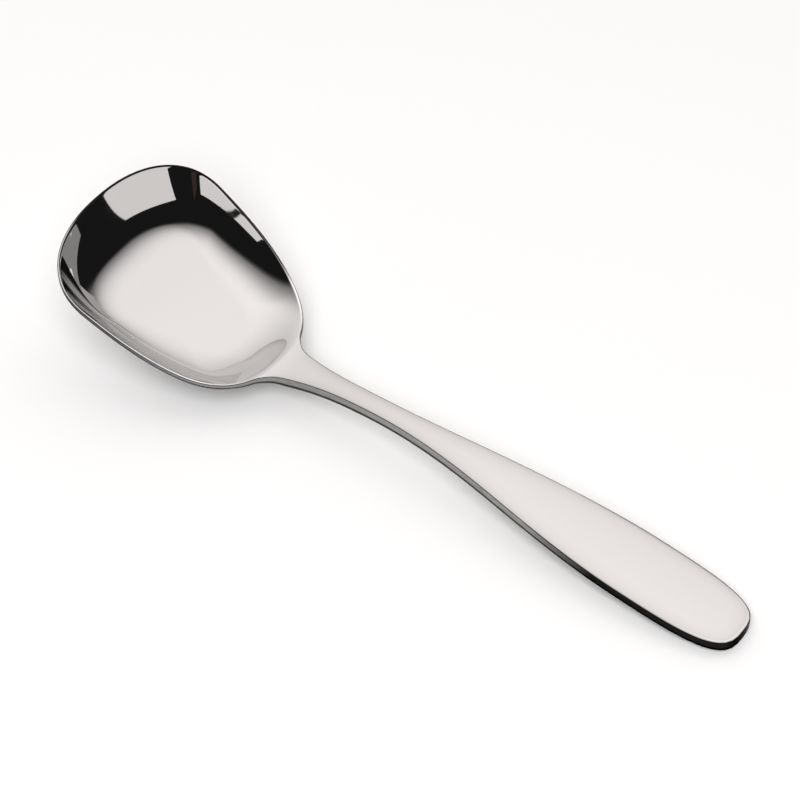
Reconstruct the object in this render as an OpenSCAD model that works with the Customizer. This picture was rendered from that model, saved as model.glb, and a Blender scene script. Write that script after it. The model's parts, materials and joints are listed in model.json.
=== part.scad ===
// Polished steel spoon with a square flat-floored bowl, lying on a table.
// The tip points along -X, the handle along +X, and the table top is at Z = 0.
// It rests on the heel of its bowl and on the end of its handle.

/* [Bowl] */
// Length of the bowl along its rim, from the tip to the heel, where the handle is welded on
bowl_length = 66; // [56:0.5:76]
// Width of the bowl at its widest place
bowl_width = 56.5; // [46:0.5:66]
// Width that the sides of the bowl draw in from the widest place to the heel, corners aside
side_draw = 7; // [0:0.5:12]
// Distance along the rim from the tip to the widest place
widest_at = 20.5; // [14:0.5:24]
// Distance along the rim from the tip to the middle of the floor
middle_at = 29.5; // [26:0.5:34]
// Squareness of the corners beside the tip, where 2 is an ellipse
tip_squareness = 2.2; // [2:0.1:3.5]
// Squareness of the corners beside the heel
heel_squareness = 2.7; // [2:0.1:3.5]
// Depth of the flat floor below the rim
bowl_depth = 9.5; // [7:0.25:12]
// Width of the curved wall between the rim and the flat floor
wall_run = 13; // [10:0.5:15]
// Hollowness of the wall, where 1 is a straight slope
wall_curve = 1.75; // [1.4:0.05:2.2]
// Tilt of the rim as the spoon lies, tip upwards, in degrees
bowl_tilt = 24.5; // [16:0.1:28]

/* [Steel] */
// Thickness of the bowl's floor
floor_thickness = 1.4; // [1:0.1:2.4]
// Width of the flat top of the rim
rim_width = 1; // [0.6:0.1:1.6]
// Height of the rim's ground edge
rim_height = 1.1; // [0.8:0.1:1.6]
// Thickness of the neck
neck_thickness = 3.2; // [2.6:0.1:4.4]
// Thickness of the handle at its end
end_thickness = 2.9; // [2:0.1:3.6]

/* [Neck] */
// Flat stretch of the top between the heel and the slope into the bowl
heel_land = 2; // [1:0.25:4]
// Angle off the spoon's axis, about the middle of the floor, at which the wall starts to ease into that slope
heel_spread = 48; // [35:1:60]
// Distance before the heel at which the edge starts to thicken
swell_at = 6; // [2:0.5:9]
// Length over which the edge grows from the rim's height to the neck's thickness
swell_length = 12; // [8:0.5:20]
// Size of the fillet between the heel and the neck
heel_fillet = 4; // [2:0.5:6]
// Distance from the heel to the narrowest place of the neck
neck_at = 31; // [25:0.5:36]
// Width of the neck at its narrowest place
neck_width = 5.8; // [4:0.1:8]
// Width that the neck gains from its narrowest place back to the heel
neck_flare = 7.8; // [4:0.2:10]
// Hollowness of the flare, where 1 is a straight taper
flare_curve = 2.9; // [2:0.1:4]
// Distance that the line of the neck meets the line of the rim before the heel
valley_at = 5; // [3:0.1:8]
// Length of the bend between the rim and the neck
valley_bend = 20; // [14:0.5:24]
// Upward slope of the neck, in degrees
neck_rise = 6.5; // [5:0.25:12]

/* [Handle] */
// Length of the handle from the heel to its end
handle_length = 139.5; // [110:0.2:170]
// Width of the handle at its widest place
handle_width = 19.8; // [14:0.2:26]
// Distance from the widest place to the end of the handle
end_reach = 29; // [20:0.5:40]
// Squareness of the end's corners, where 2 is an ellipse
end_squareness = 3.3; // [2:0.1:4]
// Distance from the heel to the top of the handle's arch
arch_at = 41.5; // [36:0.2:52]
// Length of the arch's bend
arch_bend = 56; // [40:1:60]
// Height of the crown across the top of the handle
crown_height = 0.4; // [0.2:0.05:0.8]

/* [Hidden] */
steel = [0.80, 0.81, 0.82];

// Counts of steps along the curves, and the turn at which the handle's rounded end is cut square
tip_steps = 16;
heel_steps = 22;
wall_steps = 10;
weld_steps = 8;
neck_steps = 34;
end_steps = 14;
last_turn = 87;

// Places along X, measured from the tip
level = cos(bowl_tilt);
heel_x = bowl_length * level;
widest_x = widest_at * level;
middle_x = middle_at * level;
valley_x = heel_x - valley_at;
neck_x = heel_x + neck_at;
arch_x = heel_x + arch_at;
end_x = heel_x + handle_length;
grip_x = end_x - end_reach;

// Upright distances in the tilted bowl
floor_drop = bowl_depth / level;
base_drop = (bowl_depth + floor_thickness) / level;
rim_slope = tan(bowl_tilt);
neck_slope = tan(neck_rise);

// Shaping functions
function mix(a, b, t) = a + (b - a) * t;
function clamp(t) = min(1, max(0, t));
function ease(t) = let (c = clamp(t)) c * c * (3 - 2 * c);
function bend(u, half) = u <= -half ? 0 : u >= half ? u : (u + half) * (u + half) / (4 * half);
function joined(a, b, r) = max(a, b) + r / 4 * pow(max(1 - abs(a - b) / r, 0), 2);

// Half width of the neck and handle at x
function shank(x) =
    x < neck_x
    ? neck_width / 2 + neck_flare / 2 * pow(clamp((neck_x - x) / neck_at), flare_curve)
    : mix(neck_width, handle_width, (1 - cos(180 * clamp((x - neck_x) / (grip_x - neck_x)))) / 2) / 2;

// Height of the rim's straight line, and of the top edge with the bend up to the neck
function rim_line(x) = rim_slope * (valley_x - x);
function rim_edge(x) = rim_line(x) + (rim_slope + neck_slope) * bend(x - valley_x, valley_bend / 2);

// Thickness of the edge at x, from the rim to the end of the handle
function thickness(x) =
    x < neck_x
    ? mix(rim_height, neck_thickness, ease((x - heel_x + swell_at) / swell_length))
    : mix(neck_thickness, end_thickness, ease((x - neck_x) / (end_x - neck_x)));

// Outline of one side of the bowl, from beside the tip to the weld at the heel
function side_width(x) = (bowl_width - side_draw * (x - widest_x) / (heel_x - widest_x)) / 2;
function tip_point(a) = let (
    x = widest_x * (1 - pow(cos(a), 2 / tip_squareness))
) [x, side_width(x) * pow(sin(a), 2 / tip_squareness)];
function heel_point(a) = let (
    x = widest_x + (heel_x - widest_x) * pow(sin(a), 2 / heel_squareness),
    w = side_width(x) * pow(cos(a), 2 / heel_squareness)
) [x, joined(w, shank(x), heel_fillet)];
side = concat(
    [for (i = [1 : tip_steps]) tip_point(90 * i / tip_steps)],
    [for (i = [1 : heel_steps - 1]) heel_point(90 * i / heel_steps)]
);
outline = concat(
    [[0, 0]],
    side,
    [for (i = [0 : weld_steps]) [heel_x, shank(heel_x) * (1 - 2 * i / weld_steps)]],
    [for (i = [len(side) - 1 : -1 : 0]) [side[i].x, -side[i].y]]
);

// A point of the outline moved towards the middle of the floor
middle = [middle_x, 0];
function inwards(p, run) = p + (middle - p) * run / norm(middle - p);

// Share of the neck in the section through an outline point, and of the floor at a run from the rim
weld_spread = atan2(shank(heel_x), heel_x - middle_x);
function necking(p) = ease((heel_spread - atan2(abs(p.y), p.x - middle_x)) / (heel_spread - weld_spread));
function sinking(p, run) = mix(
    1 - pow(1 - run / wall_run, wall_curve),
    ease((run - heel_land) / (wall_run - heel_land)),
    necking(p)
);

// Points of the bowl's two skins, with the valley at height zero
function inside(p, run) = let (
    q = inwards(p, rim_width + run),
    f = sinking(p, run)
) [q.x, q.y, mix(rim_edge(q.x), rim_line(q.x) - floor_drop, f)];
function outside(p, run) = let (
    q = inwards(p, run),
    f = sinking(p, run)
) [q.x, q.y, mix(rim_edge(q.x) - thickness(p.x), rim_line(q.x) - base_drop, f)];
runs = [for (i = [0 : wall_steps]) wall_run * i / wall_steps];
bowl_rings = concat(
    [for (i = [wall_steps : -1 : 0]) [for (p = outline) inside(p, runs[i])]],
    [[for (p = outline) [p.x, p.y, rim_edge(p.x)]]],
    [for (run = runs) [for (p = outline) outside(p, run)]]
);

// Height of the valley that sets the bowl's lowest point on the table
valley_z = -min([for (ring = bowl_rings) for (p = ring) p.z]);

// Height of the handle's top edge, which falls from the arch to an end that lies on the table
arch_z = valley_z + neck_slope * (arch_x - valley_x);
fall = (arch_z - end_thickness) / (end_x - arch_x);
function handle_edge(x) = valley_z + rim_edge(x) - (neck_slope + fall) * bend(x - arch_x, arch_bend / 2);

// One section of the handle, round from the top's far edge
function section(x, w) = let (
    z = handle_edge(x),
    crown = crown_height * ease((x - heel_x) / (neck_x - heel_x))
) concat(
    [for (i = [0 : weld_steps]) let (v = 1 - 2 * i / weld_steps) [x, w * v, z + crown * (1 - v * v)]],
    [for (i = [0 : weld_steps]) [x, w * (2 * i / weld_steps - 1), z - thickness(x)]]
);
handle_rings = concat(
    [for (i = [0 : neck_steps]) let (x = mix(heel_x, grip_x, i / neck_steps)) section(x, shank(x))],
    [for (i = [1 : end_steps]) let (a = last_turn * i / end_steps) section(
        grip_x + end_reach * pow(sin(a) / sin(last_turn), 2 / end_squareness),
        handle_width / 2 * pow(cos(a), 2 / end_squareness)
    )]
);

// Closed solid through rings of equal even count, with strips across the first and the last
module skin(rings) {
    n = len(rings[0]);
    last = (len(rings) - 1) * n;
    walls = [
        for (i = [0 : len(rings) - 2])
        for (j = [0 : n - 1])
        let (a = i * n + j, b = i * n + (j + 1) % n)
        each [[a, a + n, b + n], [a, b + n, b]]
    ];
    caps = [
        for (j = [0 : n / 2 - 2])
        let (a = j, b = j + 1, c = n - 2 - j, d = n - 1 - j)
        each [[a, b, c], [a, c, d], [last + a, last + c, last + b], [last + a, last + d, last + c]]
    ];
    polyhedron(points = [for (ring = rings) each ring], faces = concat(walls, caps));
}

module bowl() {
    color(steel) translate([-end_x / 2, 0, valley_z]) skin(bowl_rings);
}

module handle() {
    color(steel) translate([-end_x / 2, 0, 0]) skin(handle_rings);
}

bowl();
handle();
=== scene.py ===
# %% [markdown]
# A polished steel spoon, from a flat blank to a studio picture
#
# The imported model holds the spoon's two solids, the bowl and the handle, at their real size.
# This lesson makes the surfaces that show. It follows the maker's own order, which is to cut a
# flat blank, press it in a die, grind its edge and polish it. Everything is in metres, in the
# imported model's own frame: the tip points along -X, the handle along +X, and the table is Z = 0.

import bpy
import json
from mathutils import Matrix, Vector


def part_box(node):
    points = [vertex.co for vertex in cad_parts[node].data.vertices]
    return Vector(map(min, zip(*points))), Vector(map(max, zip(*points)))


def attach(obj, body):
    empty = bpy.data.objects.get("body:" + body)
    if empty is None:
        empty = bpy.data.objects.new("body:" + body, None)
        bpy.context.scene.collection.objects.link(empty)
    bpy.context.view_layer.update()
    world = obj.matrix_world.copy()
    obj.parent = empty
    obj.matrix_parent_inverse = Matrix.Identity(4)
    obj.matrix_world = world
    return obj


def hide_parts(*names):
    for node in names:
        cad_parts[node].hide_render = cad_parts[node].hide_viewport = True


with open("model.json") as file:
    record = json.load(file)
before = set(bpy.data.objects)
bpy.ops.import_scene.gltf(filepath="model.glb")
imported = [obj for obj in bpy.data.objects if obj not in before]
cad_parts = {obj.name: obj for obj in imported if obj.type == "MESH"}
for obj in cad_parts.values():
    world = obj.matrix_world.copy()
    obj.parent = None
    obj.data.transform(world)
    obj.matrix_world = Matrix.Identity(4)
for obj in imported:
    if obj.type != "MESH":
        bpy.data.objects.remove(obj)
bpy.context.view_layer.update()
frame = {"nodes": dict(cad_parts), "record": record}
print("packed nodes:", sorted(frame["nodes"]))

# %% [markdown]
# Places and slopes
#
# The real bowl is tilted, and the spoon rests on the bowl's underside and on the end of its handle.
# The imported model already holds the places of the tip, the heel and the end, and its mount tells
# where the underside is and which way it faces. They could be measured again from the meshes.
# Reading them is shorter, and it keeps the new surfaces on the solids if a size changes.

# %% Read the places of the two solids
import json
import math

import bmesh
import bpy
from mathutils import Vector

mm = 0.001
bowl_low, bowl_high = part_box("bowl")
handle_low, handle_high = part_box("handle")
tip_x, heel_x, end_x = bowl_low.x, bowl_high.x, handle_high.x
base = next(m for m in frame["record"]["mounts"] if m["name"] == "bowl_base")
base_point, base_axis = Vector(base["pos_m"]), Vector(base["axis"])
level = -base_axis.z
rim_slope = base_axis.x / base_axis.z
middle = Vector((base_point.x, 0))
print(f"tip {tip_x / mm:.2f}, heel {heel_x / mm:.2f}, end {end_x / mm:.2f} mm")
print(f"rim slope {math.degrees(math.atan(rim_slope)):.1f} degrees")

# %% [markdown]
# The lines of the spoon
#
# A die maker draws two things: the outline of the blank, seen from above, and the heights of the
# die over it. Both could be curves drawn by hand. Short formulas are used here, because a polished
# surface shows every flat spot of a rough one. The helpers ease from one value to another, bend a
# line round a corner and join two outlines with a fillet.

# %% Helpers for easing, bending and joining lines
def mix(a, b, share):
    return a + (b - a) * share


def clamp(share):
    return min(1, max(0, share))


def ease(share):
    s = clamp(share)
    return s * s * (3 - 2 * s)


def bend(u, half):
    """Level line that turns up to a slope of one, rounded over a length on both sides of nought."""
    if abs(u) >= half:
        return max(u, 0)
    return (u + half) ** 2 / (4 * half)


def joined(a, b, fillet):
    return max(a, b) + fillet / 4 * max(1 - abs(a - b) / fillet, 0) ** 2


print("a quarter of the way, eased:", ease(0.25), "and a bend's height at its middle:", bend(0, 1))

# %% [markdown]
# The outline
#
# The handle is a strip that is narrow at the neck and broadens to the grip. The bowl is an oval
# with squared corners, widest near its tip. Both halves of it are superellipses, which have the
# formula of a circle with a higher power, and that power fills the corners. A Boolean could join
# the bowl and the neck, but it leaves a sharp corner. Here each outline tells how far a point lies
# inside it, and the two answers are joined with a fillet. To find the edge, a search halves the way
# to it again and again.

# %% Draw the strip of the neck and the handle
neck_at, neck_width, neck_flare, flare_curve = 31 * mm, 5.8 * mm, 7.2 * mm, 2.9
neck_x = heel_x + neck_at
handle_width = handle_high.y - handle_low.y
end_reach, end_squareness = 29 * mm, 3.3
grip_x = end_x - end_reach


def shank(x):
    """Half the width of the strip."""
    if x < neck_x:
        return neck_width / 2 + neck_flare / 2 * clamp((neck_x - x) / neck_at) ** flare_curve
    broadening = (1 - math.cos(math.pi * clamp((x - neck_x) / (grip_x - neck_x)))) / 2
    return mix(neck_width, handle_width, broadening) / 2


print(f"neck {2 * shank(neck_x) / mm:.1f} mm, grip {2 * shank(grip_x) / mm:.1f} mm wide")

# %% Draw the bowl and join it to the strip
bowl_width, side_draw = 56.5 * mm, 7 * mm
widest_x = tip_x + 20.5 * mm * level
tip_squareness, heel_squareness = 2.2, 2.6
heel_fillet = 4.5 * mm


def side_width(x):
    return (bowl_width - side_draw * (x - widest_x) / (heel_x - widest_x)) / 2


def inside_bowl(p):
    """How far a point lies inside the bowl's own oval: nought on its outline, less outside."""
    end, squareness = (heel_x, heel_squareness) if p.x > widest_x else (tip_x, tip_squareness)
    along, across = (p.x - widest_x) / (end - widest_x), abs(p.y) / side_width(p.x)
    return (heel_x - widest_x) * (1 - (along ** squareness + across ** squareness) ** (1 / squareness))


def inside_spoon(p):
    strip = min(shank(p.x) - abs(p.y), p.x - middle.x)
    return joined(inside_bowl(p), strip, heel_fillet)


print(f"bowl {bowl_width / mm:.1f} mm wide, drawn in to {2 * side_width(heel_x) / mm:.1f} mm at the heel")

# %% Search for the edge
halvings = 24


def way_out(start, direction, inside):
    """Distance from a point to an outline, along a direction."""
    near, far = 0, bowl_width
    for halving in range(halvings):
        half = (near + far) / 2
        if inside(start + direction * half) > 0:
            near = half
        else:
            far = half
    return near


def half_width(x):
    return way_out(Vector((x, 0)), Vector((0, 1)), inside_spoon)


weld_half = half_width(heel_x)
weld_spread = math.atan2(weld_half, heel_x - middle.x)
print(f"weld {2 * weld_half / mm:.1f} mm wide, search to {bowl_width / 2 ** halvings * 1e9:.0f} nanometres")

# %% [markdown]
# The blank
#
# A real spoon starts as a flat blank, cut from sheet. The bowl's blank starts from a circle, whose
# points move onto the outline. Its ring of edges is then extruded inwards again and again, so that
# the mesh runs along the rim as the polished highlights do. The handle's blank is a plain grid that
# narrows at the neck and rounds off at the end. A fine even grid for all of it would be simpler, but
# it would cut across the rim. Rings and rows lie closer together near the edge, where the steel is
# rounded. Where the two blanks meet, their points are merged, so that the whole is one sheet.

# %% Number the points of the outline
edge_shares = (0, 0.2, 0.4, 0.58, 0.72, 0.83, 0.9, 0.945, 0.975, 0.99, 1)
weld_steps, side_steps = len(edge_shares) - 1, 150
half_steps = weld_steps + side_steps
heel_crowding = 1.4


def outline(step):
    """Point of the bowl's far side, counted from the middle of the neck to the tip."""
    if step <= weld_steps:
        return Vector((heel_x, weld_half * edge_shares[step]))
    spread = mix(weld_spread, math.pi, ((step - weld_steps) / side_steps) ** heel_crowding)
    outward = Vector((math.cos(spread), math.sin(spread)))
    return middle + outward * way_out(middle, outward, inside_spoon)


print("points of the bowl's outline:", 2 * half_steps)

# %% Lay out the bowl's rings
rim_width, corner_run = 0.5 * mm, 16 * mm
rim_depths = [d * mm for d in (0.06, 0.12, 0.2, 0.34, 0.45, 0.56, 0.67, 0.78, 0.9, 1.1)]
wall_rings, floor_rings = 36, 6
wall_depth = rim_width + corner_run
wall_depths = [mix(rim_depths[-1], wall_depth, (i + 1) / wall_rings) for i in range(wall_rings)]

blank = bmesh.new()
bmesh.ops.create_circle(blank, segments=2 * half_steps, radius=1)
for v in blank.verts:
    step = round(math.atan2(v.co.y, v.co.x) / math.pi * half_steps)
    p = outline(abs(step))
    v.co = (p.x, math.copysign(p.y, step), 0)
ring = list(blank.edges)


def extrude_ring(edges):
    made = bmesh.ops.extrude_edge_only(blank, edges=edges)["geom"]
    verts = [g for g in made if isinstance(g, bmesh.types.BMVert)]
    fresh = set(verts)
    return verts, [g for g in made if isinstance(g, bmesh.types.BMEdge) and fresh.issuperset(g.verts)]


reached = 0
for depth in rim_depths + wall_depths:
    verts, ring = extrude_ring(ring)
    for v in verts:
        v.co.xy += (middle - v.co.xy).normalized() * (depth - reached)
    reached = depth
print("rim and wall:", len(blank.verts), "points")

# %% Close the bowl's floor
for i in range(floor_rings):
    verts, ring = extrude_ring(ring)
    for v in verts:
        v.co.xy = v.co.xy.lerp(middle, 1 / (floor_rings + 1 - i))
bmesh.ops.contextual_create(blank, geom=ring)
bmesh.ops.poke(blank, faces=[f for f in blank.faces if len(f.verts) > 4])
print("bowl's blank:", len(blank.verts), "points")

# %% Lay out the handle's grid
neck_rows, end_rows, end_crowding = 130, 44, 1.5
handle_rows = neck_rows + end_rows
hair = 0.001 * mm
grid = bmesh.ops.create_grid(blank, x_segments=handle_rows, y_segments=2 * weld_steps, size=1)["verts"]


def end_point(along, across):
    """Point of the rounded end, from its place in a square."""
    turn = math.atan2(along, abs(across))
    wide, far = math.cos(turn), math.sin(turn)
    rounder = (wide ** end_squareness + far ** end_squareness) ** (-1 / end_squareness)
    reach = rounder * max(along, abs(across))
    return Vector((grip_x + end_reach * reach * far, math.copysign(handle_width / 2 * reach * wide, across)))


for v in grid:
    row = round((v.co.x + 1) / 2 * handle_rows)
    across = math.copysign(edge_shares[round(abs(v.co.y) * weld_steps)], v.co.y)
    if row <= neck_rows:
        x = mix(heel_x, grip_x, row / neck_rows)
        v.co = (x, across * half_width(x), 0)
    else:
        v.co.xy = end_point(1 - (1 - (row - neck_rows) / end_rows) ** end_crowding, across)
bmesh.ops.remove_doubles(blank, verts=blank.verts, dist=hair)
print("whole blank:", len(blank.verts), "points,", len(blank.faces), "faces")

# %% [markdown]
# The die
#
# A press shapes the blank between two dies, an upper and a lower one. Sculpting could shape it too,
# but a die gives one height for each place, which a formula can give as well. Along the spoon the
# edge drops to the heel, rises over the arch and falls to the end. In the bowl a wall sinks from the
# rim to a floor, which is flat and then rises softly to the heel. Towards the neck the wall eases into
# a long slope instead, so that the bowl flows into the handle with no step. Each face has a wall of its
# own: the inner one was fitted to the mirror images in it, and the underside keeps to the solid's.

# %% The line of the edge along the spoon
base_drop = 10.9 * mm / level
valley_x, valley_bend = heel_x - 5 * mm, 20 * mm
neck_slope = math.tan(math.radians(6.5))
arch_x, arch_bend = heel_x + 41.5 * mm, 56 * mm
end_thickness = 2.9 * mm


def rim_line(x):
    return base_point.z + base_drop - rim_slope * (x - middle.x)


arch_z = rim_line(valley_x) + neck_slope * (arch_x - valley_x)
fall = (arch_z - end_thickness) / (end_x - arch_x)


def top_edge(x):
    rising = (rim_slope + neck_slope) * bend(x - valley_x, valley_bend / 2)
    falling = (neck_slope + fall) * bend(x - arch_x, arch_bend / 2)
    return rim_line(x) + rising - falling


print(f"arch {arch_z / mm:.1f} mm high, falling {math.degrees(math.atan(fall)):.1f} degrees to the end")

# %% The steel's thickness and the bowl's floor
rim_height, neck_thickness = 1.5 * mm, 3.2 * mm
swell_at, swell_length = 6 * mm, 12 * mm
floor_drop = 9 * mm / level
lift_x, heel_lift = middle.x - 8 * mm, 7 * mm


def thickness(x):
    if x < neck_x:
        return mix(rim_height, neck_thickness, ease((x - heel_x + swell_at) / swell_length))
    return mix(neck_thickness, end_thickness, ease((x - neck_x) / (end_x - neck_x)))


def floor_line(x):
    return rim_line(x) - floor_drop + heel_lift * clamp((x - lift_x) / (heel_x - lift_x)) ** 2


print(f"floor {(base_drop - floor_drop) * level / mm:.1f} mm thick in the middle of the bowl")

# %% The wall of the bowl, inside
wall_run, wall_curve, rim_round = 15 * mm, 2.4, 0.3 * mm
heel_spread, heel_curve = math.radians(42), 1.5


def depth_at(p):
    """How far a point lies inside the bowl's own outline, measured towards the middle."""
    return way_out(middle, (p - middle).normalized(), inside_bowl) - (p - middle).length


def spread_at(p):
    return math.atan2(abs(p.y), p.x - middle.x)


def necking(p, widest):
    """Share of the neck's slope: one at the weld, nought from the widest spread on."""
    return ease((widest - spread_at(p)) / (widest - weld_spread))


def inner_sinking(p):
    """Nought on the rim and in the handle, one on the floor."""
    depth = depth_at(p)
    reach = mix(wall_run, corner_run, max(math.sin(2 * spread_at(p)), 0) ** 2)
    wall = 1 - (1 - clamp(bend(depth - rim_width, rim_round) / reach)) ** wall_curve
    share = clamp(depth / reach)
    slope = share ** heel_curve * (1 + heel_curve - heel_curve * share)
    return mix(wall, slope, necking(p, heel_spread))


print(f"wall {wall_run / mm:.0f} mm long, {corner_run / mm:.0f} mm in the corners")

# %% The wall of the bowl, outside
base_run, base_curve = 13 * mm, 1.75
base_land, base_spread = 2 * mm, math.radians(48)


def outer_sinking(p):
    """The same for the underside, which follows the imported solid's down to the table."""
    depth = depth_at(p)
    wall = 1 - (1 - clamp(depth / base_run)) ** base_curve
    slope = ease((depth - base_land) / (base_run - base_land))
    return mix(wall, slope, necking(p, base_spread))


print(f"underside {base_run / mm:.0f} mm from the edge to its flat middle")

# %% [markdown]
# The edges
#
# No edge of the real spoon is sharp: the grinder breaks each one, a little on the bowl and the neck
# and more on the grip. A Bevel modifier would do it on simple shapes, but it can fold over itself where
# rows crowd at the rounded end. The heights of the die already know how far a point lies from the
# edge, so they drop along an arc there, and the crowded rows follow it.

# %% Measure the gap to the edge
def inset(p):
    """How far a point lies inside the spoon's outline."""
    if p.x > grip_x:
        along, across = (p.x - grip_x) / end_reach, 2 * abs(p.y) / handle_width
        reach = (along ** end_squareness + across ** end_squareness) ** (1 / end_squareness)
        lean = end_squareness - 1
        steep = math.hypot((along / reach) ** lean / end_reach, (across / reach) ** lean * 2 / handle_width)
        return (1 - reach) / steep
    side = half_width(p.x) - abs(p.y)
    if p.x > heel_x:
        return side
    return min(side, way_out(p, (p - middle).normalized(), inside_spoon))


print(f"neck: {inset(Vector((neck_x, 0))) / mm:.1f} mm from its middle to its edge")

# %% Give both faces their heights
crown_height = 0.4 * mm
top_round, end_round, base_round = 0.25 * mm, 1.3 * mm, 0.5 * mm
top_turn, end_turn, base_turn = math.radians(48), math.radians(34), math.radians(75)
round_x, round_run = 40 * mm, 22 * mm


def rounding(gap, radius, turn):
    """How far an edge of this radius, rounded through this turn, drops at a gap from the outline."""
    over = max(radius * math.sin(turn) - gap, 0)
    return radius - math.sqrt(radius ** 2 - over ** 2)


def upper(p, gap):
    half = shank(min(p.x, grip_x))
    crown = 2 * crown_height * half / handle_width * ease((p.x - heel_x) / neck_at) * (1 - (p.y / half) ** 2)
    ending = ease((p.x - round_x) / round_run)
    height = mix(top_edge(p.x) + crown, floor_line(p.x), inner_sinking(p))
    return height - rounding(gap, mix(top_round, end_round, ending), mix(top_turn, end_turn, ending))


def lower(p, gap):
    rim_x = p.x + depth_at(p) * math.cos(spread_at(p))
    height = mix(top_edge(p.x) - thickness(max(p.x, rim_x)), rim_line(p.x) - base_drop, outer_sinking(p))
    return height + rounding(gap, base_round, base_turn)


neck_middle, neck_gap = Vector((neck_x, 0)), neck_width / 2
print(f"neck {(upper(neck_middle, neck_gap) - lower(neck_middle, neck_gap)) / mm:.1f} mm thick in its middle")

# %% [markdown]
# Pressing the blank
#
# The flat sheet becomes steel with a thickness. A Solidify modifier would give it an even one, but
# the real spoon is thin in the bowl and thick in the neck. So the sheet's faces are extruded with
# the first ones kept, which makes a second sheet and a band between them, and each sheet takes its
# own die's heights. Every point also keeps two values for the polish: which sheet it is on, and its
# gap to the edge.

# %% Press both faces, with the edge band between them
drop = blank.verts.layers.float.new("drop")
gap_to_edge = blank.verts.layers.float.new("gap")
made = bmesh.ops.extrude_face_region(blank, geom=blank.faces[:], use_keep_orig=True)["geom"]
under = {g for g in made if isinstance(g, bmesh.types.BMVert)}
edge_band = [f for f in blank.faces if 0 < sum(v in under for v in f.verts) < len(f.verts)]
for v in blank.verts:
    gap = inset(v.co.xy)
    v[drop] = float(v in under)
    v[gap_to_edge] = gap / mm
    v.co.z = lower(v.co.xy, gap) if v in under else upper(v.co.xy, gap)
bmesh.ops.recalc_face_normals(blank, faces=blank.faces)
print("edge band:", len(edge_band), "faces; open edges:", sum(e.is_boundary for e in blank.edges))

# %% Give the band its own finish and keep its two lines crisp
band_faces = set(edge_band)
for f in blank.faces:
    f.smooth = True
    f.material_index = 1 if f in band_faces else 0
band_lines = [e for e in blank.edges if sum(f in band_faces for f in e.link_faces) == 1]
for e in band_lines:
    e.smooth = False
print("crisp lines:", len(band_lines), "edges; faces:", len(blank.faces))

# %% [markdown]
# The weld
#
# The bowl and the handle are two pieces, welded at the heel and ground flush. They could be made
# apart, but then their highlights would break at the seam. So the pressed spoon is cut in two: a
# bisect keeps one side of the weld each time, and the open end is filled, so that both are closed.

# %% Cut the spoon at the weld into the bowl and the handle
def steel_piece(name, keep_bowl):
    part = blank.copy()
    bmesh.ops.bisect_plane(
        part, geom=part.verts[:] + part.edges[:] + part.faces[:], dist=hair,
        plane_co=(heel_x, 0, 0), plane_no=(1, 0, 0), clear_outer=keep_bowl, clear_inner=not keep_bowl,
    )
    caps = bmesh.ops.holes_fill(part, edges=[e for e in part.edges if e.is_boundary], sides=0)["faces"]
    for f in caps:
        f.smooth = False
        for e in f.edges:
            e.smooth = False
    bmesh.ops.recalc_face_normals(part, faces=part.faces)
    print(name, "faces:", len(part.faces), "open edges:", sum(e.is_boundary for e in part.edges))
    mesh = bpy.data.meshes.new(name)
    part.to_mesh(mesh)
    part.free()
    piece = bpy.data.objects.new(name, mesh)
    bpy.context.scene.collection.objects.link(piece)
    return piece


bowl_steel = steel_piece("bowl_steel", True)
handle_steel = steel_piece("handle_steel", False)
blank.free()
for piece, node in ((bowl_steel, "bowl"), (handle_steel, "handle")):
    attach(piece, "root")
    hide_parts(node)

# %% [markdown]
# Polish
#
# The real spoon is buffed to a mirror on its faces and only ground along its edge, where fine lines
# from the wheel still run along the steel. An image could hold such marks, but it has to be fitted
# to the surface. Noise in the piece's own coordinates needs no fitting: stretched along the spoon it
# gives streaks, and unstretched it gives soft smudges. Both steels use the marks, so they are one
# node group, placed in each with its own fineness.

# %% Make the node group of polishing marks
streak_stretch, streak_detail = (60, 2400, 2400), 3
smudge_scale, smudge_detail = 90, 5


def value_socket(group, name, in_out):
    return group.interface.new_socket(name, in_out=in_out, socket_type="NodeSocketFloat")


def marks_group():
    group = bpy.data.node_groups.new("polishing_marks", "ShaderNodeTree")
    value_socket(group, "Fineness", "INPUT").default_value = 1
    value_socket(group, "Streaks", "OUTPUT")
    value_socket(group, "Smudges", "OUTPUT")
    nodes, links = group.nodes, group.links
    inlet, outlet = nodes.new("NodeGroupInput"), nodes.new("NodeGroupOutput")
    place = nodes.new("ShaderNodeTexCoord")
    stretch = nodes.new("ShaderNodeVectorMath")
    stretch.operation = "MULTIPLY"
    stretch.inputs[1].default_value = streak_stretch
    streaks = nodes.new("ShaderNodeTexNoise")
    streaks.inputs["Detail"].default_value = streak_detail
    smudges = nodes.new("ShaderNodeTexNoise")
    smudges.inputs["Scale"].default_value = smudge_scale
    smudges.inputs["Detail"].default_value = smudge_detail
    links.new(place.outputs["Object"], stretch.inputs[0])
    links.new(stretch.outputs[0], streaks.inputs["Vector"])
    links.new(inlet.outputs["Fineness"], streaks.inputs["Scale"])
    links.new(place.outputs["Object"], smudges.inputs["Vector"])
    links.new(streaks.outputs["Fac"], outlet.inputs["Streaks"])
    links.new(smudges.outputs["Fac"], outlet.inputs["Smudges"])
    return group


polishing_marks = marks_group()
print("marks:", [item.name for item in polishing_marks.interface.items_tree])

# %% Make the two steels
noise_span = (0.3, 0.7)
range_sockets = ("From Min", "From Max", "To Min", "To Max")


def ranged(tree, noise, low, high):
    spread = tree.nodes.new("ShaderNodeMapRange")
    for socket, number in zip(range_sockets, (*noise_span, low, high)):
        spread.inputs[socket].default_value = number
    tree.links.new(noise, spread.inputs["Value"])
    return spread.outputs["Result"]


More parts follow.
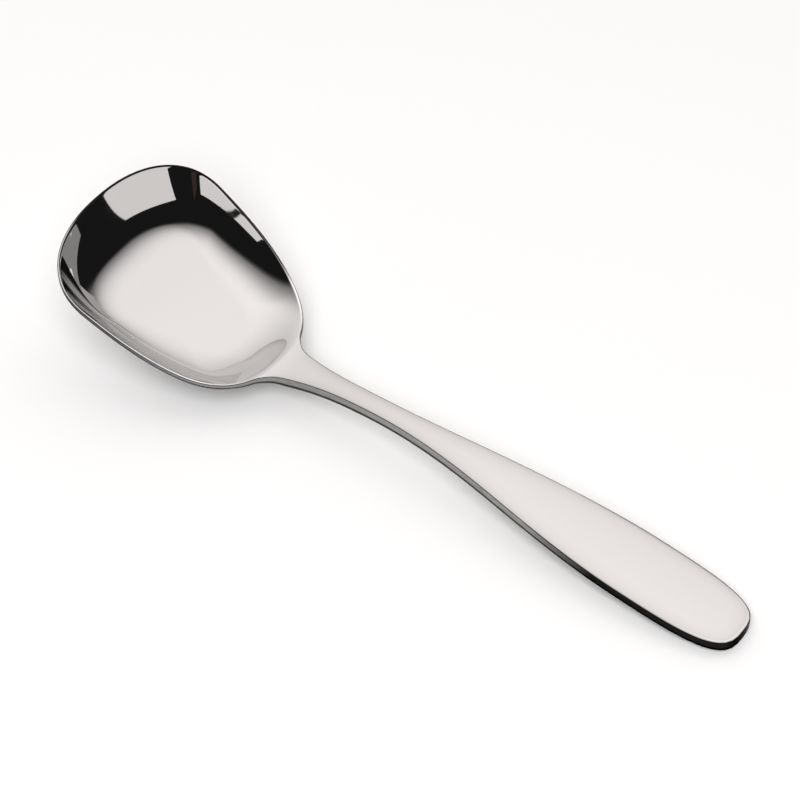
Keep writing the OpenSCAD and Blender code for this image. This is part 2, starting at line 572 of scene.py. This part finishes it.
def steel(name, fineness, roughness, relief):
    """Steel with streaks of a fineness and a relief, and a roughness that varies with its smudges."""
    material = bpy.data.materials.new(name)
    material.use_nodes = True
    tree = material.node_tree
    shader = tree.nodes["Principled BSDF"]
    shader.inputs["Metallic"].default_value = 1
    marks = tree.nodes.new("ShaderNodeGroup")
    marks.node_tree = polishing_marks
    marks.inputs["Fineness"].default_value = fineness
    tree.links.new(ranged(tree, marks.outputs["Smudges"], *roughness), shader.inputs["Roughness"])
    bump = tree.nodes.new("ShaderNodeBump")
    bump.inputs["Strength"].default_value = 1
    bump.inputs["Distance"].default_value = relief
    tree.links.new(marks.outputs["Streaks"], bump.inputs["Height"])
    tree.links.new(bump.outputs["Normal"], shader.inputs["Normal"])
    return material, shader, marks


mirror_fineness, mirror_roughness, mirror_relief = 1.5, (0.015, 0.035), 0.00005 * mm
edge_fineness, edge_roughness, edge_relief = 1, (0.2, 0.3), 0.004 * mm
polished, polished_shader = steel("mirror_polish_painted_light", mirror_fineness, mirror_roughness, mirror_relief)[:2]
ground, ground_shader, ground_marks = steel("ground_edge_painted_shade", edge_fineness, edge_roughness, edge_relief)
for piece in (bowl_steel, handle_steel):
    piece.data.materials.append(polished)
    piece.data.materials.append(ground)
print("steels:", [m.name for m in bowl_steel.data.materials])

# %% [markdown]
# The ground edge
#
# Along the edge the steel mirrors the floor and the spoon's shadow on it, and that light and shade
# is painted into its colour. It is painted dark round the bowl's tip, lighter along the neck, and
# nearly black round the grip's end, which stands low over its own shadow, and its foot is painted
# dark all the way. The band is long and narrow, so painting it by hand would be slow. A colour ramp
# along the spoon gives the greys instead, the value that tells the two sheets apart gives the foot,
# and the streaks break up both.

# %% Helpers that read a place on the spoon
warmth = (1, 0.985, 0.97)


def graded(tree, value, low, high, stops):
    """Greys along a value, from pairs of a place between low and high and a grey."""
    along = tree.nodes.new("ShaderNodeMapRange")
    along.inputs["From Min"].default_value = low
    along.inputs["From Max"].default_value = high
    tree.links.new(value, along.inputs["Value"])
    ramp = tree.nodes.new("ShaderNodeValToRGB")
    tree.links.new(along.outputs["Result"], ramp.inputs["Fac"])
    elements = ramp.color_ramp.elements
    for i, (place, grey) in enumerate(stops):
        element = elements[i] if i < len(elements) else elements.new(1)
        element.position = (place - low) / (high - low)
        element.color = (*(grey * share for share in warmth), 1)
    return ramp.outputs["Color"]


def along_spoon(tree, stops):
    """Greys along the spoon, from pairs of a place in millimetres and a grey."""
    place = tree.nodes.new("ShaderNodeTexCoord")
    parts = tree.nodes.new("ShaderNodeSeparateXYZ")
    tree.links.new(place.outputs["Object"], parts.inputs[0])
    return graded(tree, parts.outputs["X"], tip_x, end_x, [(x * mm, grey) for x, grey in stops])


def soft_step(tree, value, ends, values=(0, 1)):
    step = tree.nodes.new("ShaderNodeMapRange")
    step.interpolation_type = "SMOOTHSTEP"
    for socket, number in zip(range_sockets, (*ends, *values)):
        step.inputs[socket].default_value = number
    tree.links.new(value, step.inputs["Value"])
    return step.outputs["Result"]


def kept_value(tree, name):
    """A value that every point of the mesh kept."""
    source = tree.nodes.new("ShaderNodeAttribute")
    source.attribute_name = name
    return source.outputs["Fac"]


def product(tree, a, b):
    times = tree.nodes.new("ShaderNodeMath")
    times.operation = "MULTIPLY"
    tree.links.new(a, times.inputs[0])
    tree.links.new(b, times.inputs[1])
    return times.outputs[0]


print("greys are tinted by", warmth)

# %% Paint shade on the ground edge along its length and at its foot
# Painted shade: greys along the spoon for the shadowed floor that the edge mirrors, nearly black at the
# grip's end, which stands over its own shadow.
shade_tones = ((-98, 0.1), (-72, 0.12), (-52, 0.3), (-10, 0.32), (40, 0.38), (52, 0.16), (62, 0.02))
# Painted shade: the band's foot darkens where it mirrors the shadow under the spoon.
foot_shade_at, foot_shade_grey = (0.6, 0.8), 0.15
edge_tint, edge_streaks = 0.4, (0.8, 1.2)

tree = ground.node_tree
# Its grey specular tint dims the edge's reflections at glancing angles.
ground_shader.inputs["Specular Tint"].default_value = (edge_tint, edge_tint, edge_tint, 1)
# The foot's painted shade, laid by the value that tells the two sheets apart.
foot = soft_step(tree, kept_value(tree, "drop"), foot_shade_at, (1, foot_shade_grey))
shade = product(tree, foot, ranged(tree, ground_marks.outputs["Streaks"], *edge_streaks))
greys = tree.nodes.new("ShaderNodeVectorMath")
greys.operation = "SCALE"
tree.links.new(along_spoon(tree, shade_tones), greys.inputs[0])
tree.links.new(shade, greys.inputs["Scale"])
tree.links.new(greys.outputs[0], ground_shader.inputs["Base Color"])
print("edge tones:", shade_tones)

# %% [markdown]
# The polished faces
#
# A buffing wheel polishes the faces to a mirror, and part of the light and shade that they mirror
# is painted into their colour. The rim's flat land is painted nearly white on both sides of the
# bowl, and fainter round the grip's end, as a painted highlight. The handle's face is painted darker
# towards its edges, the very edge is a thin line painted dark, and the tip's land is painted dark,
# all as painted shade. Each could be a material of its own, but their borders are soft, so they are
# coats of colour in one material, laid by the gap to the edge and by the place along the spoon.

# %% Helpers that lay one colour over another
def from_edge(tree, stops):
    """Greys inwards from the edge, from pairs of a gap in millimetres and a grey."""
    return graded(tree, kept_value(tree, "gap"), 0, handle_width / 2 / mm, stops)


def beyond(tree, direction, start, end):
    """Soft step along a direction over the spoon, in millimetres from the middle of the table."""
    place = tree.nodes.new("ShaderNodeTexCoord")
    ahead = tree.nodes.new("ShaderNodeVectorMath")
    ahead.operation = "DOT_PRODUCT"
    ahead.inputs[1].default_value = direction
    tree.links.new(place.outputs["Object"], ahead.inputs[0])
    return soft_step(tree, ahead.outputs["Value"], (start * mm, end * mm))


def colour_socket(sockets, name):
    """The colour socket of this name, since a mix node has one for each kind of value."""
    return next(s for s in sockets if s.name == name and s.type == "RGBA")


def coat(tree, lower_coat, share, upper_coat):
    """Two colours, one laid over a share of the other."""
    layer = tree.nodes.new("ShaderNodeMix")
    layer.data_type = "RGBA"
    for name, colour in (("A", lower_coat), ("B", upper_coat)):
        socket = colour_socket(layer.inputs, name)
        if isinstance(colour, bpy.types.NodeSocket):
            tree.links.new(colour, socket)
        else:
            socket.default_value = colour
    tree.links.new(share, layer.inputs["Factor"])
    return colour_socket(layer.outputs, "Result")


print(f"coats go by the gap to the edge, up to {handle_width / 2 / mm:.1f} mm")

# %% Polish the faces, with a painted highlight and painted shade
bright_steel = (0.64, 0.635, 0.632, 1)
# The near-white grey is a painted highlight; the near-black and dark greys are painted shade.
painted_highlight_grey, tip_shade_grey, edge_shade_grey = ((grey, grey, grey, 1) for grey in (0.97, 0.03, 0.06))
# Where along the spoon the rim's land takes the painted highlight.
painted_highlight = ((-96, 0), (-80, 1), (-52, 1), (-42, 0), (84, 0), (95, 0.4))
# Painted shade: the handle's face is coloured darker towards its edges.
painted_face_shade = ((0.2, 0.5), (0.9, 0.57), (1.7, 0.61), (2.7, 0.632), (4.5, 0.653))
handle_side = ((1, 0, 0), -44, -24)
tip_side = ((-0.6, 0.8, 0), 47, 54)
# Gaps to the edge over which the painted highlight and painted shade fade out.
rim_fade, tip_fade, edge_shade_fade, fading_out = (0.4, 1.0), (0.35, 0.6), (0.08, 0.32), (1, 0)

tree = polished.node_tree
gap = kept_value(tree, "gap")
# Share of the painted highlight on the rim's land.
rim_highlight_share = product(tree, soft_step(tree, gap, rim_fade, fading_out), along_spoon(tree, painted_highlight))
# Share of the painted shade on the tip's land.
tip_shade_share = product(tree, soft_step(tree, gap, tip_fade, fading_out), beyond(tree, *tip_side))
# The handle's face, with its painted shade towards the edges.
surface = coat(tree, bright_steel, beyond(tree, *handle_side), from_edge(tree, painted_face_shade))
surface = coat(tree, surface, rim_highlight_share, painted_highlight_grey)
surface = coat(tree, surface, tip_shade_share, tip_shade_grey)
# Painted shade: a thin dark line along the very edge, where the rounded edge mirrors the dark.
surface = coat(tree, surface, soft_step(tree, gap, edge_shade_fade, fading_out), edge_shade_grey)
tree.links.new(surface, polished_shader.inputs["Base Color"])
print("burnished stretches:", painted_highlight)

# %% [markdown]
# The floor
#
# Mirror-bright steel has little colour of its own: it shows the room, so the room is part of the
# work. The floor is plain pale paper, which takes the spoon's soft shadow. A roll of paper that
# curves up behind the spoon would hide the horizon. Here the paper turns into a plain white glow
# away from the spoon instead, for the camera and for mirrors alone, so that no wall stands in the
# way of the light.

# %% Lay the floor
def stage_object(name, shape, material):
    mesh = bpy.data.meshes.new(name)
    shape.to_mesh(mesh)
    shape.free()
    mesh.materials.append(material)
    thing = bpy.data.objects.new(name, mesh)
    bpy.context.scene.collection.objects.link(thing)
    return thing


floor_half, paper_grey, paper_roughness = 4, 0.9, 0.9
shadow_reach, white_reach = 0.35, 0.9
paper = bpy.data.materials.new("floor_paper")
paper.use_nodes = True
tree = paper.node_tree
paper_shader = tree.nodes["Principled BSDF"]
paper_shader.inputs["Base Color"].default_value = (paper_grey, paper_grey, paper_grey, 1)
paper_shader.inputs["Roughness"].default_value = paper_roughness
paper_shader.inputs["Specular IOR Level"].default_value = 0
floor_shape = bmesh.new()
bmesh.ops.create_grid(floor_shape, x_segments=1, y_segments=1, size=floor_half)
stage_object("floor", floor_shape, paper)
print("floor:", 2 * floor_half, "metres square")

# %% Let the paper glow white away from the spoon
place = tree.nodes.new("ShaderNodeTexCoord")
away = tree.nodes.new("ShaderNodeVectorMath")
away.operation = "LENGTH"
tree.links.new(place.outputs["Object"], away.inputs[0])
rays = tree.nodes.new("ShaderNodeLightPath")
seen = rays.outputs["Is Camera Ray"]
for kind in ("Is Glossy Ray", "Is Transmission Ray"):
    either = tree.nodes.new("ShaderNodeMath")
    either.operation = "MAXIMUM"
    tree.links.new(seen, either.inputs[0])
    tree.links.new(rays.outputs[kind], either.inputs[1])
    seen = either.outputs[0]
white = tree.nodes.new("ShaderNodeEmission")
fading = tree.nodes.new("ShaderNodeMixShader")
far_off = soft_step(tree, away.outputs["Value"], (shadow_reach, white_reach))
tree.links.new(product(tree, far_off, seen), fading.inputs["Fac"])
tree.links.new(paper_shader.outputs[0], fading.inputs[1])
tree.links.new(white.outputs[0], fading.inputs[2])
tree.links.new(fading.outputs[0], tree.nodes["Material Output"].inputs["Surface"])
print("white beyond", white_reach, "metres")

# %% [markdown]
# The hood
#
# A photographer of silver hangs a wide hood of white cloth over it, so that the steel mirrors soft
# light and not the ceiling. The hood in the bowl's mirror image is brightest overhead, fades
# sideways, and stops at a hem on the camera's side, behind which all is black. Many lamps could
# imitate it, but each would show as a spot. So it is a half sphere whose cloth glows by direction:
# two round patches of light, joined, cut at the hem, and brighter towards the top.

# %% Sew the hood's cloth
def towards(azimuth, elevation=0):
    """Direction at an azimuth from +Y towards +X, and an elevation, in degrees."""
    a, e = math.radians(azimuth), math.radians(elevation)
    return Vector((math.sin(a) * math.cos(e), math.cos(a) * math.cos(e), math.sin(e)))


hood_patches = ((towards(-43.7, 50.4), (0.256, 0.91)), (towards(21, 48.9), (0.84, 1.062)))
hood_hem = (0.05, 0.25)
hood_black, hood_side, hood_rise = 0.012, 0.66, 0.7
warm_white = (1, 0.962, 0.952, 1)

hood_cloth = bpy.data.materials.new("hood_cloth")
hood_cloth.use_nodes = True
tree = hood_cloth.node_tree
tree.nodes.remove(tree.nodes["Principled BSDF"])
place = tree.nodes.new("ShaderNodeTexCoord")
direction = tree.nodes.new("ShaderNodeVectorMath")
direction.operation = "NORMALIZE"
tree.links.new(place.outputs["Object"], direction.inputs[0])


def patch(axis, ends):
    along = tree.nodes.new("ShaderNodeVectorMath")
    along.operation = "DOT_PRODUCT"
    along.inputs[1].default_value = axis
    tree.links.new(direction.outputs[0], along.inputs[0])
    return soft_step(tree, along.outputs["Value"], ends)


both = tree.nodes.new("ShaderNodeMix")
both.data_type = "RGBA"
both.blend_type = "SCREEN"
both.inputs["Factor"].default_value = 1
for name, values in zip("AB", hood_patches):
    tree.links.new(patch(*values), colour_socket(both.inputs, name))
shine = colour_socket(both.outputs, "Result")
hemmed = product(tree, shine, soft_step(tree, shine, hood_hem))
print("hood patches:", len(hood_patches))

# %% Make the cloth glow and hang the hood
hood_radius, hood_sides = 3, 96

parts = tree.nodes.new("ShaderNodeSeparateXYZ")
tree.links.new(direction.outputs[0], parts.inputs[0])
rising = tree.nodes.new("ShaderNodeMath")
rising.operation = "MULTIPLY_ADD"
rising.inputs[1].default_value = hood_rise
rising.inputs[2].default_value = hood_side
tree.links.new(parts.outputs["Z"], rising.inputs[0])
light = tree.nodes.new("ShaderNodeMapRange")
light.inputs["To Min"].default_value = hood_black
tree.links.new(hemmed, light.inputs["Value"])
tree.links.new(rising.outputs[0], light.inputs["To Max"])
glow = tree.nodes.new("ShaderNodeEmission")
glow.inputs["Color"].default_value = warm_white
tree.links.new(light.outputs["Result"], glow.inputs["Strength"])
tree.links.new(glow.outputs[0], tree.nodes["Material Output"].inputs["Surface"])

dome = bmesh.new()
bmesh.ops.create_uvsphere(dome, u_segments=hood_sides, v_segments=hood_sides // 2, radius=hood_radius)
bmesh.ops.bisect_plane(
    dome, geom=dome.verts[:] + dome.edges[:] + dome.faces[:], plane_co=(0, 0, 0), plane_no=(0, 0, 1),
    clear_inner=True,
)
hood = stage_object("hood", dome, hood_cloth)
hood.visible_camera = False
print("hood faces:", len(hood.data.polygons))

# %% [markdown]
# The panels
#
# White panels beside the camera show as bright patches in the bowl's tip, with the dark studio
# between them, and grey and black cards by the far side shade the near wall. Area lamps would light
# the floor as well. Each panel is a line of two feet, extruded up to its two tops, with a plain glow
# that only mirrors see. Its two sides are given by the azimuths of their foot and top from the bowl,
# a distance and a height, because these decide where the bowl mirrors them.

# %% Stand the panels
def glowing(name, colour, strength):
    material = bpy.data.materials.new(name)
    material.use_nodes = True
    tree = material.node_tree
    tree.nodes.remove(tree.nodes["Principled BSDF"])
    glow = tree.nodes.new("ShaderNodeEmission")
    glow.inputs["Color"].default_value = colour
    glow.inputs["Strength"].default_value = strength
    tree.links.new(glow.outputs[0], tree.nodes["Material Output"].inputs["Surface"])
    return material


def stand(name, material, feet, tops):
    shape = bmesh.new()
    line = shape.edges.new([shape.verts.new(p) for p in feet])
    made = bmesh.ops.extrude_edge_only(shape, edges=[line])["geom"]
    fresh = [g for g in made if isinstance(g, bmesh.types.BMVert)]
    for v, top in zip(sorted(fresh, key=lambda v: (v.co - feet[0]).length), tops):
        v.co = top
    panel = stage_object(name, shape, material)
    panel.visible_camera = False
    panel.visible_diffuse = False
    panel.visible_shadow = False


brown = (1, 0.62, 0.5, 1)
white_panel = glowing("white_panel", warm_white, 0.94)
far_card = glowing("far_card", warm_white, 0.5)
grey_card = glowing("grey_card", warm_white, 0.32)
black_card = glowing("black_card", warm_white, hood_black)
brown_cloth = glowing("brown_cloth", brown, 0.05)
panels = {
    "right_panel": (white_panel, (60, 60, 0.92, 0.305), (103.5, 98, 0.56, 0.33)),
    "left_panel": (white_panel, (150, 150, 0.59, 0.34), (198.5, 190.8, 0.59, 0.28)),
    "corner_panel": (white_panel, (199.2, 191.6, 0.58, 0.28), (205, 197.6, 0.56, 0.3)),
    "brown_cloth": (brown_cloth, (136, 132, 0.7, 0.5), (146, 142, 0.7, 0.34)),
    "black_flag": (black_card, (46, 46, 0.4, 0.035), (62, 62, 0.4, 0.035)),
    "grey_flag": (grey_card, (14, 14, 0.32, 0.028), (46, 46, 0.32, 0.028)),
    "far_card": (far_card, (-4, -4, 0.6, 0.26), (20, 20, 0.6, 0.2)),
}
bowl_spot, up = Vector((middle.x, 0, 0)), Vector((0, 0, 1))
for name, (material, *sides) in panels.items():
    feet = [bowl_spot + towards(foot) * distance for foot, top, distance, height in sides]
    tops = [bowl_spot + towards(top) * distance + up * height for foot, top, distance, height in sides]
    stand(name, material, feet, tops)
print("panels:", ", ".join(panels))

# %% Lay the grey card
card_start, card_length, card_lift = 0.1, 0.26, 0.2 * mm
card_corners, card_heading = (10, 56), 32
near_side = [bowl_spot + towards(azimuth) * card_start + up * card_lift for azimuth in card_corners]
stand("grey_card", grey_card, near_side, [p + towards(card_heading) * card_length for p in near_side])
print(f"grey card: {(near_side[1] - near_side[0]).length:.3f} by {card_length} metres")

# %% [markdown]
# The lamp and the backdrop
#
# One big soft lamp lights the paper and gives the spoon its shadow. The steel shouldn't mirror it as
# a disc, so it is hidden from mirrors. A brighter hood could light the paper too, but then the steel
# would be too bright. The world behind everything is plain white.

# %% Light the paper and the backdrop
lamp_size, lamp_power, lamp_distance = 1.2, 19, 1.6
lamp_azimuth, lamp_elevation = 150, 55
lamp_data = bpy.data.lights.new("paper_lamp", "AREA")
lamp_data.shape = "DISK"
lamp_data.size = lamp_size
lamp_data.energy = lamp_power
lamp = bpy.data.objects.new("paper_lamp", lamp_data)
bpy.context.scene.collection.objects.link(lamp)
lamp.location = towards(lamp_azimuth, lamp_elevation) * lamp_distance
lamp.rotation_mode = "QUATERNION"
lamp.rotation_quaternion = (-lamp.location).to_track_quat("-Z", "Y")
lamp.visible_glossy = False

world = bpy.data.worlds.new("studio")
bpy.context.scene.world = world
world.use_nodes = True
world.node_tree.nodes["Background"].inputs["Color"].default_value = (1, 1, 1, 1)
print("lamp at", tuple(round(c, 2) for c in lamp.location))

# %% [markdown]
# The camera
#
# The picture is taken from above the handle's side, from some distance, so the spoon is hardly
# foreshortened. The camera could be placed by eye. Here its angle, its lens and the point that it
# looks at were fitted to the spoon's outline, so the blank's edge lies on the outline in the picture.

# %% Place the camera
picture_width, focal_pixels, sensor = 800, 2600, 36
camera_azimuth, camera_elevation = 143.943, 48.705
camera_distance, sight = 664.9 * mm, 100
target = Vector((-7.585, 7.747, 8.0)) * mm
backward = towards(camera_azimuth, camera_elevation)
camera = bpy.data.objects.new("camera", bpy.data.cameras.new("camera"))
bpy.context.scene.collection.objects.link(camera)
camera.location = target + backward * camera_distance
camera.rotation_mode = "QUATERNION"
camera.rotation_quaternion = (-backward).to_track_quat("-Z", "Y")
camera.data.sensor_width = sensor
camera.data.lens = sensor * focal_pixels / picture_width
camera.data.clip_end = sight
bpy.context.scene.camera = camera
bpy.context.scene.view_settings.view_transform = "Standard"
print(f"lens {camera.data.lens:.0f} mm, {camera_distance:.2f} metres away")
